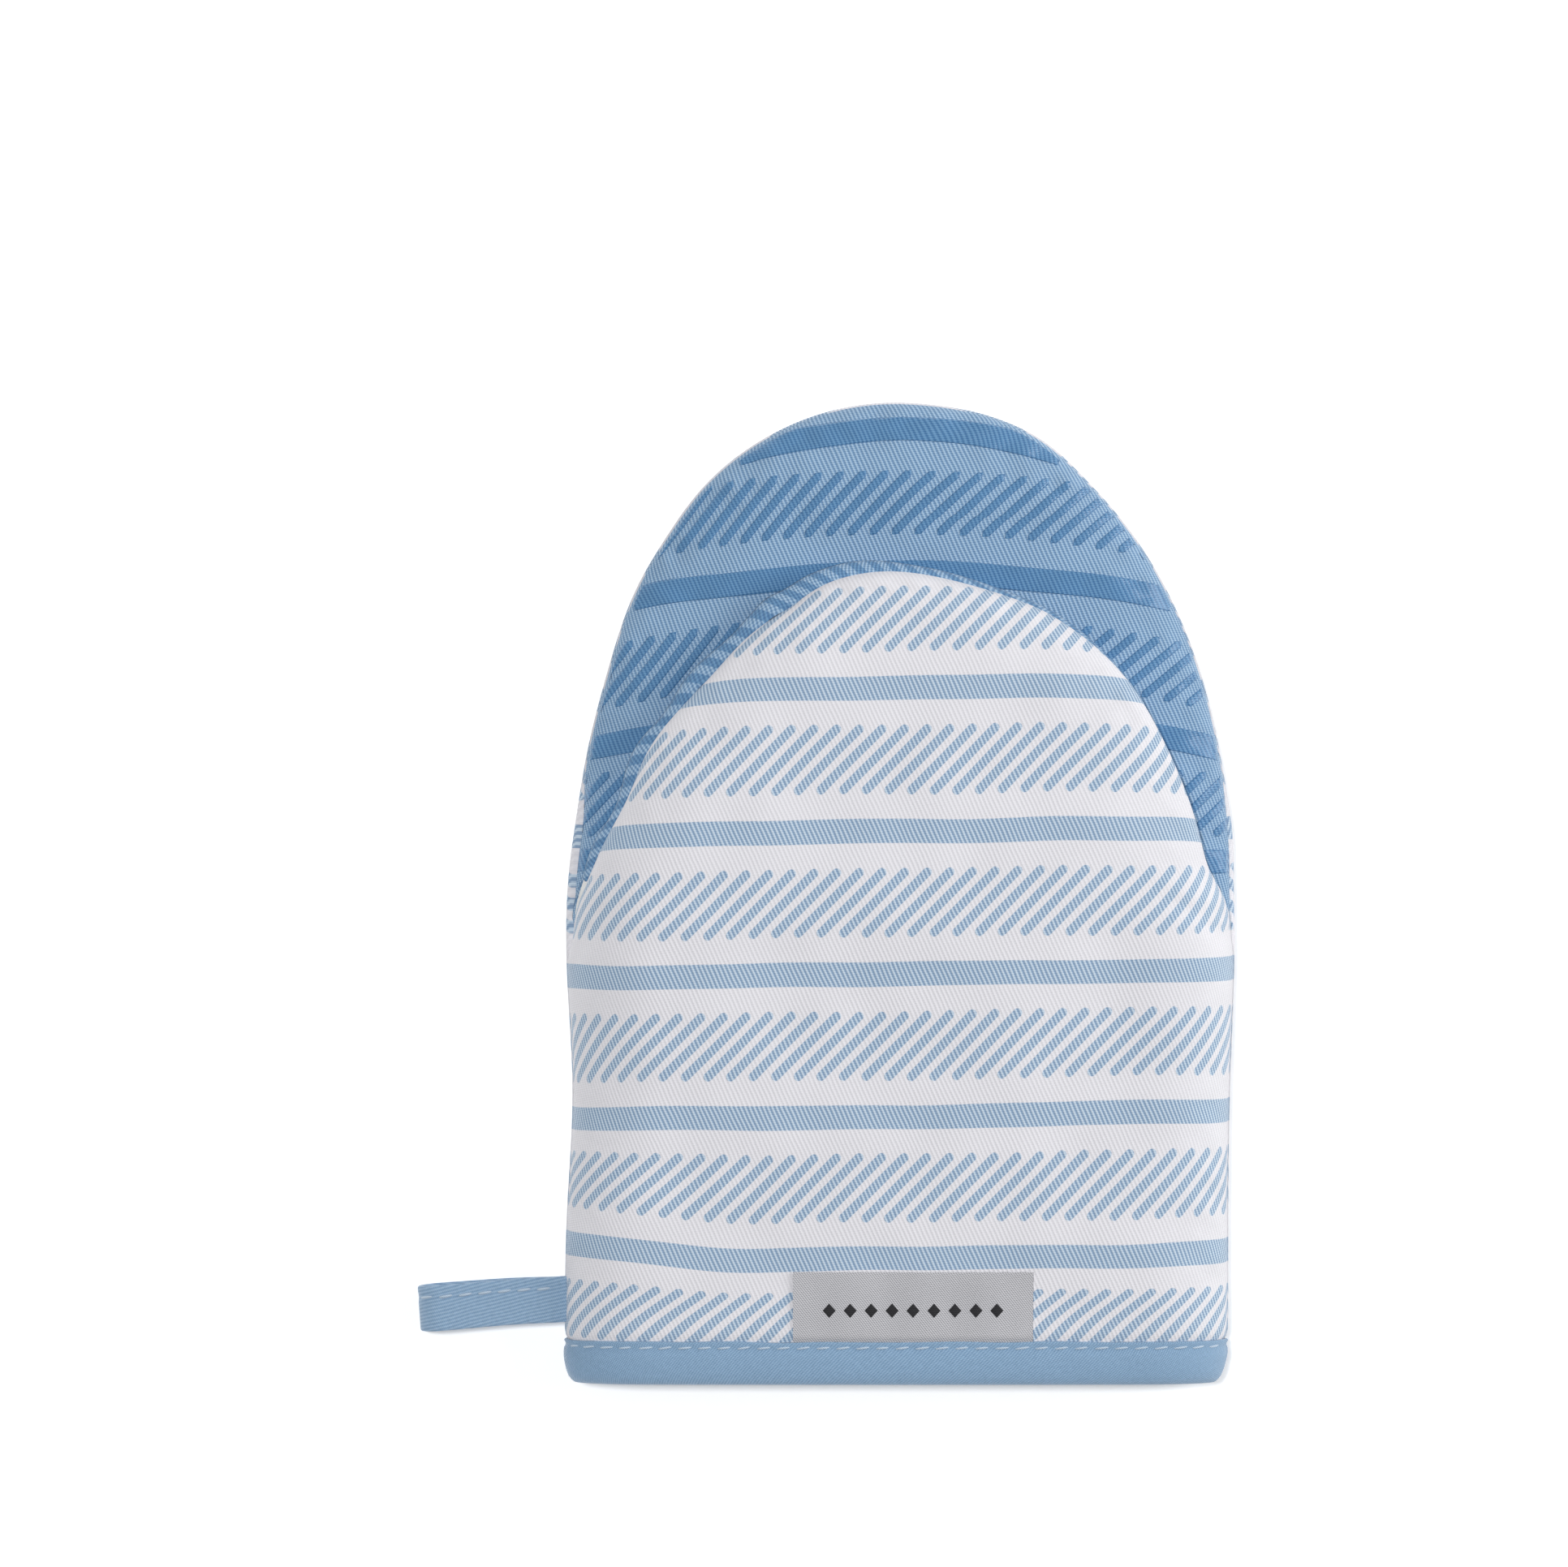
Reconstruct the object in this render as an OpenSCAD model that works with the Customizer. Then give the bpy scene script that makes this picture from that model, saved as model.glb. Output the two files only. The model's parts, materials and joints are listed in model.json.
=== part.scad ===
// Small oven mitt with a finger pocket and a thumb pocket, lying on its back.
// +X is to the right, +Y runs from the wrist to the finger tip, +Z is up.
// The origin is the middle of the wrist edge, on the surface that the mitt lies on.

/* [Outline] */
// Width across the cuff
mitt_w = 138; // [126:1:150]
// Length from the wrist edge to the finger tip
mitt_l = 204; // [190:1:220]
// Length of the straight sides, before the finger end rounds over
side_l = 105; // [100:1:112]
// Distance from the wrist edge to the fold between the thumb and the fingers
fold_y = 95; // [88:1:98]
// Width of the thumb pocket at the fold
thumb_w = 134.6; // [126:0.2:136]
// Length of the thumb pocket from the fold to its tip
thumb_l = 73.7; // [64:0.1:82]
// How far in from the edge each pocket starts to round over
rim_round = 12; // [9:0.5:14]

/* [Layers] */
// Thickness of the outer cloth
cloth_t = 0.6; // [0.4:0.1:0.8]
// Thickness of the wadding of the back and front panels
wadding_t = 3; // [2.4:0.1:3.2]
// Thickness of the wadding behind the grip panels
grip_wadding_t = 2.6; // [2:0.1:2.8]
// Thickness of the lining
lining_t = 0.4; // [0.3:0.1:0.5]

/* [Heights] */
// Height of the side seam above the resting surface
seam_z = 9; // [8:0.5:10]
// Height of the grip panel above the side seam
grip_h = 5.6; // [5:0.1:6.4]
// Gap between the closed thumb and finger grip panels
mouth_gap = 0.9; // [0.8:0.1:1.4]
// Height of the thumb pocket above its own seam
thumb_h = 10; // [9:0.5:12]
// Height of the front of the cuff at the wrist edge
wrist_top_z = 20; // [18:0.5:23]

/* [Thumb hinge] */
// How far the thumb pocket opens, in degrees
open_angle = 75; // [60:1:75]
// Radius of the rounded end that the thumb pocket turns on
nose_r = 18; // [17:0.1:18]
// Half of the width over which that end is deep
deep_half_w = 54; // [48:1:54]
// Half of the width over which it is shallow
shallow_half_w = 63; // [56:0.5:63]

/* [Cuff] */
// Width of the binding
binding_w = 9; // [7:0.5:11]
// Thickness of each turn of the binding
binding_t = 0.8; // [0.6:0.1:1]
// Length of one stitch
stitch_l = 2.4; // [1.8:0.1:3]
// Distance from one stitch to the next
stitch_pitch = 4; // [3.4:0.1:5]

/* [Label] */
// Width of the label
label_w = 49.7; // [40:0.1:56]
// Height of the part of the label that shows
label_l = 14.6; // [10:0.1:18]
// Distance from the middle of the cuff to the middle of the label
label_x = 3.5; // [-10:0.5:10]

/* [Hanging loop] */
// Width of the folded strip
loop_w = 9.5; // [8:0.5:11]
// How far the loop stands out from the side seam
loop_l = 30.2; // [27:0.1:34]
// Thickness of the folded strip
loop_t = 1.3; // [1:0.1:1.5]
// Radius of the eye at its far end
eye_r = 3.5; // [3.4:0.1:3.8]
// Distance from the wrist edge to the middle of the loop's root
loop_y = 17; // [15:0.5:24]
// Angle between the loop and a line square to the side seam
loop_turn = 4; // [0:1:4]

/* [Grip print] */
// Distance from one stripe to the next
print_pitch = 30; // [26:1:34]
// Width of a stripe
stripe_w = 5; // [3:0.5:7]
// Height of a band of dashes
dash_band = 15; // [10:1:17]
// How far a dash leans over the height of its band
dash_lean = 12.5; // [8:0.5:15]
// Width of a dash, along its stripe
dash_w = 2.4; // [1.6:0.1:3]
// Distance from one dash to the next
dash_pitch = 4.5; // [4:0.1:6]
// Thickness of the silicone
print_t = 0.3; // [0.2:0.05:0.3]

/* [Hidden] */

half_w = mitt_w / 2;
arch_l = mitt_l - side_l;
thumb_half_w = thumb_w / 2;
flat_share = 1 - rim_round / half_w;

// Depth of each face of the stack below the outside: cloth, wadding, lining
panel_faces = [0, cloth_t, cloth_t + wadding_t, cloth_t + wadding_t + lining_t];
grip_faces = [0, cloth_t, cloth_t + grip_wadding_t, cloth_t + grip_wadding_t + lining_t];
// The binding squeezes the same stack thinner at the wrist
bound_room = panel_faces[3] - 2 * binding_t;
bound_faces = [for (d = panel_faces) binding_t + bound_room * d / panel_faces[3]];
binding_end_t = 1;
binding_step = 0.6;

// Heights of the closed mouth and of the thumb pocket above it
finger_top_z = seam_z + grip_h;
hinge_z = finger_top_z + mouth_gap / 2;
thumb_bottom_z = finger_top_z + mouth_gap;
thumb_seam_z = thumb_bottom_z + grip_faces[3] + 0.3;
thumb_top_z = thumb_seam_z + thumb_h;
thumb_grip_h = thumb_seam_z - thumb_bottom_z;

// Distance from the hinge to the thumb's outside, and the clearance kept while it turns
swing_r = thumb_top_z - hinge_z;
swing_gap = 0.3;
fold_gap = 0.4;
// How far the rounded end leans back from upright, in degrees, where it is deep and shallow
deep_lean = 50;
shallow_lean = 35;
nose_l = 14;
room = 200;

// Exponents that fill out the sides of the thumb's outline a little
thumb_bow_x = 1.05;
thumb_bow_y = 1.18;

// Steps of the rounded edge and of the rounded ends, in degrees
rim_turns = [0, 22, 42, 60, 76, 90];
arch_turns = [0, 15, 30, 42, 52, 60, 67, 73, 79, 84.5, 90];
side_shares = [for (a = rim_turns) flat_share + (1 - flat_share) * sin(a)];
last_share = len(side_shares) - 1;
across = concat(
    [for (k = [0:last_share]) -side_shares[last_share - k]],
    [-flat_share / 2, 0, flat_share / 2],
    side_shares
);

stitch_w = 0.5;
stitch_t = 0.3;
label_t = 0.35;
front_slope = (thumb_top_z - wrist_top_z) / fold_y;
front_tilt = atan(front_slope);

loop_nose_r = loop_t;
loop_root_x = -half_w - loop_nose_r - 0.7;
loop_far_r = eye_r + loop_t;
loop_reach = loop_l - (-half_w - loop_root_x) - loop_far_r;
loop_droop_z = loop_far_r - seam_z;
loop_run = sqrt(loop_reach * loop_reach - loop_droop_z * loop_droop_z);

cloth_blue = [0.56, 0.69, 0.80];
cloth_white = [0.90, 0.90, 0.92];
silicone_blue = [0.38, 0.57, 0.74];
wadding_white = [0.96, 0.96, 0.94];
lining_white = [0.88, 0.87, 0.84];

// Height of the cuff's front above the side seam, at y
function cuff_h(y) = wrist_top_z - seam_z + front_slope * y;

// Share of the full height, at a share e of the way from the middle to the edge
function dome(e) =
    e <= flat_share ? 1 : sqrt(max(0, 1 - pow((e - flat_share) / (1 - flat_share), 2)));

// One row of points across a panel: h is its height over the seam, negative below it
function row(w, y, z, h, turn = 0) =
    [for (s = across) [w * s + 0, y, z + h * dome(norm([s * cos(turn), sin(turn)]))]];

// Rows over a rounded end that starts at y
function arch_rows(w, y, l, z, h, bow_x = 1, bow_y = 1) =
    [for (a = arch_turns) row(w * pow(cos(a), bow_x), y + l * pow(sin(a), bow_y), z, h, a)];

// Rows inside the binding, then one just past it
function bound_rows(face, z, side) = [
    for (y = [binding_end_t, binding_w, binding_w + binding_step])
        let (
            d = y > binding_w ? panel_faces[face] : bound_faces[face],
            h = side < 0 ? seam_z : cuff_h(y)
        )
        row(half_w - d, y, z, side * (h - d))
];

function back_skin(face) = concat(
    bound_rows(face, seam_z, -1),
    arch_rows(half_w - panel_faces[face], side_l, arch_l - panel_faces[face],
        seam_z, panel_faces[face] - seam_z)
);

function finger_skin(face) = concat(
    [row(half_w - grip_faces[face], fold_y, seam_z, grip_h - grip_faces[face])],
    arch_rows(half_w - grip_faces[face], side_l, arch_l - grip_faces[face],
        seam_z, grip_h - grip_faces[face])
);

function cuff_skin(face) = concat(
    bound_rows(face, seam_z, 1),
    [row(half_w - panel_faces[face], fold_y - fold_gap, seam_z,
        cuff_h(fold_y - fold_gap) - panel_faces[face])]
);

function thumb_skin(face) = concat(
    [row(thumb_half_w - panel_faces[face], fold_y - nose_l, thumb_seam_z,
        thumb_h - panel_faces[face])],
    arch_rows(thumb_half_w - panel_faces[face], fold_y, thumb_l - panel_faces[face],
        thumb_seam_z, thumb_h - panel_faces[face], thumb_bow_x, thumb_bow_y)
);

function thumb_grip_skin(face) =
    arch_rows(thumb_half_w - grip_faces[face], fold_y, thumb_l - grip_faces[face],
        thumb_seam_z, grip_faces[face] - thumb_grip_h, thumb_bow_x, thumb_bow_y);

// A face of four corners as two triangles
function halves(q) = [[q[0], q[1], q[2]], [q[0], q[2], q[3]]];

// Closed solid between an upper and a lower skin, each a list of rows of points
module layer(upper, lower) {
    rows = len(upper);
    cols = len(upper[0]);
    points = [for (skin = [upper, lower]) for (r = skin) each r];
    low = rows * cols;
    last = (rows - 1) * cols;
    top_quads = [
        for (i = [0:rows - 2], j = [0:cols - 2])
            let (p = i * cols + j)
            [p, p + cols, p + cols + 1, p + 1]
    ];
    bottom_quads = [for (q = top_quads) [low + q[0], low + q[3], low + q[2], low + q[1]]];
    start_quads = [for (j = [0:cols - 2]) [j, j + 1, low + j + 1, low + j]];
    end_quads = [for (q = start_quads) [last + q[1], last + q[0], last + q[3], last + q[2]]];
    left_quads = [
        for (i = [0:rows - 2])
            let (p = i * cols)
            [p + cols, p, low + p, low + p + cols]
    ];
    right_quads = [
        for (q = left_quads)
            [q[1] + cols - 1, q[0] + cols - 1, q[3] + cols - 1, q[2] + cols - 1]
    ];
    quads = concat(top_quads, bottom_quads, start_quads, end_quads, left_quads, right_quads);
    polyhedron(points, [
        for (q = quads) for (t = halves(q))
            if (points[t[0]] != points[t[1]] && points[t[1]] != points[t[2]]
                && points[t[2]] != points[t[0]]) t
    ]);
}

// Moves its children to the hinge
module at_hinge() {
    translate([0, fold_y, hinge_z])
        children();
}

// Cylinder along X about the hinge
module hinge_cylinder(r, half_l) {
    translate([-half_l, 0, 0])
        rotate([0, 90, 0])
            cylinder(r = r, h = 2 * half_l, $fn = 96);
}

// Everything in front of a plane along the hinge that leans back from upright
module in_front(half_l, lean, back = 0) {
    rotate([lean, 0, 0])
        translate([-half_l, -back, -room / 2])
            cube([2 * half_l, room, room]);
}

// Rounded end behind the hinge, as wide and as deep as told
module nose(half_l, lean) {
    intersection() {
        hinge_cylinder(nose_r, half_l);
        in_front(half_l, lean);
    }
}

// Everything that the thumb pocket's front layers may fill
module thumb_side() {
    at_hinge() {
        in_front(room / 2, 0);
        nose(deep_half_w, deep_lean);
        nose(shallow_half_w, shallow_lean);
    }
}

// Everything that the thumb pocket passes through as it opens
module thumb_sweep() {
    at_hinge()
        intersection() {
            union() {
                hinge_cylinder(nose_r + swing_gap, shallow_half_w + swing_gap);
                hinge_cylinder(swing_r + swing_gap, room / 2);
                in_front(room / 2, open_angle - 90, swing_r + swing_gap);
            }
            translate([-room / 2, -room / 2, -swing_gap])
                cube([room, room, room]);
        }
}

// A layer of the thumb's front, rounded off where it turns inside the cuff
module thumb_layer(face) {
    intersection() {
        layer(thumb_skin(face), thumb_skin(face + 1));
        thumb_side();
    }
}

// A layer of the cuff's front, cut back to let the thumb turn
module cuff_layer(face) {
    difference() {
        layer(cuff_skin(face), cuff_skin(face + 1));
        thumb_sweep();
    }
}

module back_shell() {
    color(cloth_white) layer(back_skin(1), back_skin(0));
}

module back_wadding() {
    color(wadding_white) layer(back_skin(2), back_skin(1));
}

module back_lining() {
    color(lining_white) layer(back_skin(3), back_skin(2));
}

module finger_grip_panel() {
    color(cloth_blue) layer(finger_skin(0), finger_skin(1));
}

module finger_grip_wadding() {
    color(wadding_white) layer(finger_skin(1), finger_skin(2));
}

module finger_grip_lining() {
    color(lining_white) layer(finger_skin(2), finger_skin(3));
}

module cuff_front_shell() {
    color(cloth_white) cuff_layer(0);
}

module cuff_front_wadding() {
    color(wadding_white) cuff_layer(1);
}

module cuff_front_lining() {
    color(lining_white) cuff_layer(2);
}

module thumb_shell() {
    color(cloth_white) thumb_layer(0);
}

module thumb_wadding() {
    color(wadding_white) thumb_layer(1);
}

module thumb_lining() {
    color(lining_white) thumb_layer(2);
}

module thumb_grip_panel() {
    color(cloth_blue) layer(thumb_grip_skin(1), thumb_grip_skin(0));
}

module thumb_grip_wadding() {
    color(wadding_white) layer(thumb_grip_skin(2), thumb_grip_skin(1));
}

module thumb_grip_lining() {
    color(lining_white) layer(thumb_grip_skin(3), thumb_grip_skin(2));
}

// Flat middle of a rounded end, as an outline: everything inside the rounded edge
module flat_outline(w, y, l, bow_x = 1, bow_y = 1) {
    polygon([
        for (a = [0:6:180])
            [w * flat_share * sign(cos(a)) * pow(abs(cos(a)), bow_x),
             y + l * flat_share * pow(sin(a), bow_y)]
    ]);
}

// Stripes and bands of leaning dashes, over a stretch of the grip
module print_bars(count, first_y) {
    dash_count = ceil(mitt_w / dash_pitch);
    for (k = [0:count - 1]) {
        translate([-half_w, first_y + k * print_pitch - stripe_w / 2])
            square([mitt_w, stripe_w]);
        for (n = [0:dash_count])
            translate([n * dash_pitch - half_w, first_y + (k + 0.5) * print_pitch - dash_band / 2])
                polygon([[0, 0], [dash_w, 0], [dash_w + dash_lean, dash_band], [dash_lean, dash_band]]);
    }
}

module finger_grip_print() {
    color(silicone_blue)
        translate([0, 0, finger_top_z])
            linear_extrude(print_t)
                intersection() {
                    print_bars(3, fold_y + 13.5);
                    union() {
                        flat_outline(half_w, side_l, arch_l);
                        translate([-half_w * flat_share, fold_y + 1])
                            square([mitt_w * flat_share, side_l - fold_y]);
                    }
                }
}

module thumb_grip_print() {
    color(silicone_blue)
        translate([0, 0, thumb_bottom_z - print_t])
            linear_extrude(print_t)
                intersection() {
                    print_bars(2, fold_y + 13.5);
                    translate([0, 1])
                        flat_outline(thumb_half_w, fold_y, thumb_l - 1, thumb_bow_x, thumb_bow_y);
                }
}

// Point of the wrist opening's ring: column k goes round it, d is the depth below the outside
function ring_point(k, d, y) =
    let (
        top = k < len(across),
        s = across[top ? k : 2 * len(across) - 2 - k],
        h = top ? cuff_h(y) : -seam_z
    )
    [(half_w - d) * s, y, seam_z + (h - sign(h) * d) * dome(abs(s))];

// Strip folded over the wrist edge, seen end on: depth below the outside, then y
binding_section = [
    [0, 0],
    [0, binding_w],
    [binding_t, binding_w],
    [binding_t, binding_end_t],
    [panel_faces[3] - binding_t, binding_end_t],
    [panel_faces[3] - binding_t, binding_w],
    [panel_faces[3], binding_w],
    [panel_faces[3], 0]
];

module cuff_binding() {
    turns = 2 * len(across) - 2;
    sides = len(binding_section);
    points = [for (k = [0:turns - 1]) for (p = binding_section) ring_point(k, p[0], p[1])];
    quads = [
        for (k = [0:turns - 1], j = [0:sides - 1])
            let (a = k * sides, b = ((k + 1) % turns) * sides, n = (j + 1) % sides)
            [a + j, a + n, b + n, b + j]
    ];
    color(cloth_blue) polyhedron(points, [for (q = quads) each halves(q)]);
}

module cuff_stitching() {
    stitch_y = binding_w - 1.2;
    span = 2 * half_w * flat_share - stitch_l;
    count = floor(span / stitch_pitch);
    color("lightsteelblue")
        for (k = [0:count])
            translate([(k - count / 2) * stitch_pitch - stitch_l / 2, stitch_y,
                seam_z + cuff_h(stitch_y)])
                rotate([front_tilt, 0, 0])
                    translate([0, -stitch_w / 2, 0])
                        cube([stitch_l, stitch_w, stitch_t]);
}

module woven_label() {
    start_y = binding_w + 0.1;
    color("silver")
        translate([label_x - label_w / 2, start_y, seam_z + cuff_h(start_y)])
            rotate([front_tilt, 0, 0])
                cube([label_w, label_l, label_t]);
}

// Places the loop: its root is on the hinge line, and it droops to the resting surface
module loop_place() {
    translate([loop_root_x, loop_y, seam_z])
        rotate([0, 0, loop_turn])
            children();
}

// Outline of a drop: a small circle at the root and a large one at the far end
module drop(root_r, far_r) {
    hull() {
        circle(r = root_r, $fn = 32);
        translate([-loop_run, loop_droop_z])
            circle(r = far_r, $fn = 48);
    }
}

module hang_loop() {
    color(cloth_blue)
        loop_place()
            translate([0, loop_w / 2, 0])
                rotate([90, 0, 0]) {
                    linear_extrude(loop_w)
                        difference() {
                            drop(loop_nose_r - 0.1, loop_far_r);
                            drop(0.05, eye_r);
                        }
                    cylinder(r = loop_nose_r, h = loop_w, $fn = 48);
                }
}

module loop_stitching() {
    // Angle of the upper leaf: the line through the two circles, then its taper
    fall = atan2(-loop_droop_z, loop_run);
    taper = asin((loop_far_r - loop_nose_r) / loop_reach);
    count = floor((loop_reach - 4) / stitch_pitch);
    color("lightsteelblue")
        loop_place()
            for (k = [0:count - 1])
                rotate([0, taper - fall, 0])
                    translate([-3 - k * stitch_pitch - stitch_l, loop_w / 2 - 2.2 - stitch_w,
                        loop_nose_r])
                        cube([stitch_l, stitch_w, stitch_t]);
}

back_shell();
back_wadding();
back_lining();
finger_grip_panel();
finger_grip_wadding();
finger_grip_lining();
finger_grip_print();
cuff_front_shell();
cuff_front_wadding();
cuff_front_lining();
thumb_shell();
thumb_wadding();
thumb_lining();
thumb_grip_panel();
thumb_grip_wadding();
thumb_grip_lining();
thumb_grip_print();
cuff_binding();
cuff_stitching();
woven_label();
hang_loop();
loop_stitching();
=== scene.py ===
import json
import math
from functools import partialmethod

import bmesh
import bpy
import numpy as np
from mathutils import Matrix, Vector
from mathutils.bvhtree import BVHTree


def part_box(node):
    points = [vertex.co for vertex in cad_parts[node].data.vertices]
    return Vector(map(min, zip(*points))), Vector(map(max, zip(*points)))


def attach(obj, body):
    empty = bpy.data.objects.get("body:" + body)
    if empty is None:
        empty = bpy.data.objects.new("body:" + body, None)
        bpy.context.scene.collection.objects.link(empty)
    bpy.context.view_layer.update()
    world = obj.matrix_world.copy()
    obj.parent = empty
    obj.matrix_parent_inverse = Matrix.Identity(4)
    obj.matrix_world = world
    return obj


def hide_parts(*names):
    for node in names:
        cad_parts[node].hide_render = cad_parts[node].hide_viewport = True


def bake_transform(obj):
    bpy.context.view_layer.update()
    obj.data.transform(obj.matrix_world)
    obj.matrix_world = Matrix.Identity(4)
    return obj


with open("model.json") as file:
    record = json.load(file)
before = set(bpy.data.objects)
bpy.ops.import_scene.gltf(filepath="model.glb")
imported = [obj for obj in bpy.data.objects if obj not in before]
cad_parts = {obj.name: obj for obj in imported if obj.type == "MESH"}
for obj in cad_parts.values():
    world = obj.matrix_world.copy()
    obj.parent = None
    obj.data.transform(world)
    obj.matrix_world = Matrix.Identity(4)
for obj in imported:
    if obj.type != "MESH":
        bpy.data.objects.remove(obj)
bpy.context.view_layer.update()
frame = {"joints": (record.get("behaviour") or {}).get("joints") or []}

# Lengths below are in millimetres. mesh_object() turns them into metres.
MM = 0.001


def box_mm(node):
    low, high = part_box(node)
    return np.array(low) / MM, np.array(high) / MM


def joint_mm(name):
    joint = next(j for j in frame["joints"] if j["name"] == name)
    return np.array(joint["pos_m"]) / MM


# Sizes of the frame
HALF_W, LENGTH = box_mm("back_shell")[1][:2]
SEAM_Z = box_mm("finger_grip_panel")[0][2]
FINGER_TOP = box_mm("finger_grip_panel")[1][2]
_, THUMB_TIP, THUMB_TOP = box_mm("thumb_shell")[1]
THUMB_UNDER = box_mm("thumb_grip_panel")[0][2]
_, FOLD_Y, HINGE_Z = joint_mm("mouth_open")
LOOP_ROOT = joint_mm("loop_swing")
BINDING_W = box_mm("cuff_binding")[1][1]

# The outline has straight sides, then a rounded end, which two powers, its bow, shape
STRAIGHT_L = 105.0
ARCH_L = LENGTH - STRAIGHT_L
ARCH_BOW = (1.0, 0.92)
THUMB_L = THUMB_TIP - FOLD_Y
THUMB_BOW = (1.06, 1.28)
SEAM_INSET = 0.4
CORNER_HALF_W = HALF_W - 1.95
# Each panel's half width, the start and length of its rounded end, and its bow
BACK_OUTLINE = (HALF_W, STRAIGHT_L, ARCH_L, ARCH_BOW)
FINGER_OUTLINE = (HALF_W - SEAM_INSET, STRAIGHT_L, ARCH_L - SEAM_INSET, ARCH_BOW)
THUMB_OUTLINE = (CORNER_HALF_W, FOLD_Y, THUMB_L, THUMB_BOW)

# Along the mitt: where the panels start under the binding, and where the grip panels fold
WRIST_START = 1.0
FOLD_END = FOLD_Y - 0.4
FOLD_RUN = 4.0

# Across the mitt: a panel is level over the share FLAT of its half width, then rounds down
FLAT = 0.72
ROUND_POWER = 2.6
WRIST_TOP = 20.0
FRONT_SLUMP = 0.7
RIM_H = 0.4
ROLL_H = 2.2
BIND_SQUEEZE = 0.8

# Depth of each face of the stack below the outside: cloth, wadding, lining
PANEL_FACES = np.array([0.0, 0.6, 3.6, 4.0])
GRIP_FACES = np.array([0.0, 0.6, 3.2, 3.6])

# Spacing of the mesh on what shows, and on what is hidden
FINE = 1.25
COARSE = 2.6
LINING_STEP = 0.8 * COARSE


def ease(t):
    """From 0 to 1 as t does, with soft ends."""
    t = np.clip(t, 0, 1)
    return t * t * (3 - 2 * t)


def bump_at(y, middle, width):
    return np.exp(-(((y - middle) / width) ** 2))


def swells(y, *places):
    """Sum of smooth bumps, each with its height, middle and width."""
    return sum(height * bump_at(y, middle, width) for height, middle, width in places)


def xyz(x, y, z):
    return np.stack([x, y, z], -1)


def direction(degrees):
    return np.array([math.cos(math.radians(degrees)), math.sin(math.radians(degrees))])


def turned(x, y, degrees):
    """Distances along a direction, and beside it."""
    c, s = map(float, direction(degrees))
    return x * c + y * s, y * c - x * s


def unit(vectors):
    return vectors / np.linalg.norm(vectors, axis=-1, keepdims=True)


def run_along(line):
    """Distance along a line of points, at each of them."""
    return np.concatenate([[0], np.cumsum(np.linalg.norm(np.diff(line, axis=0), axis=1))])


def part_way(places, run, rows):
    """Rows of a table, at places along its run."""
    return np.stack([np.interp(places, run, column) for column in rows.T], -1)


def soft_waves(seed, wave, count=16):
    """Smooth random waves over the plan, about 1 high and wave long."""
    rng = np.random.default_rng(seed)
    turns = rng.uniform(0, 2 * math.pi, count)
    phases = rng.uniform(0, 2 * math.pi, count)
    waves = wave * rng.uniform(0.7, 1.5, count)

    def height(x, y):
        total = 0.0
        for turn, phase, length in zip(turns, phases, waves):
            along = x * math.cos(turn) + y * math.sin(turn)
            total = total + np.sin(2 * math.pi * along / length + phase)
        return total * math.sqrt(1 / count)

    return height


broad_waves = soft_waves(3, 46.0)
small_waves = soft_waves(5, 15.0)
grip_waves = soft_waves(11, 30.0)
seam_waves = soft_waves(17, 7.5, 10)
edge_waves = soft_waves(23, 26.0, 8)


def dome(share):
    """Share of the full height, at a share of the way from the middle to the edge."""
    q = np.clip((share - FLAT) / (1 - FLAT), 0, 1)
    return np.sqrt(1 - q**ROUND_POWER)


# ---- grids over a panel


def spread_steps(count):
    """Steps from -1 to 1, closer together near the ends."""
    t = np.linspace(-1, 1, count)
    return 0.45 * t + 0.55 * np.sin(math.pi * t / 2)


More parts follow.
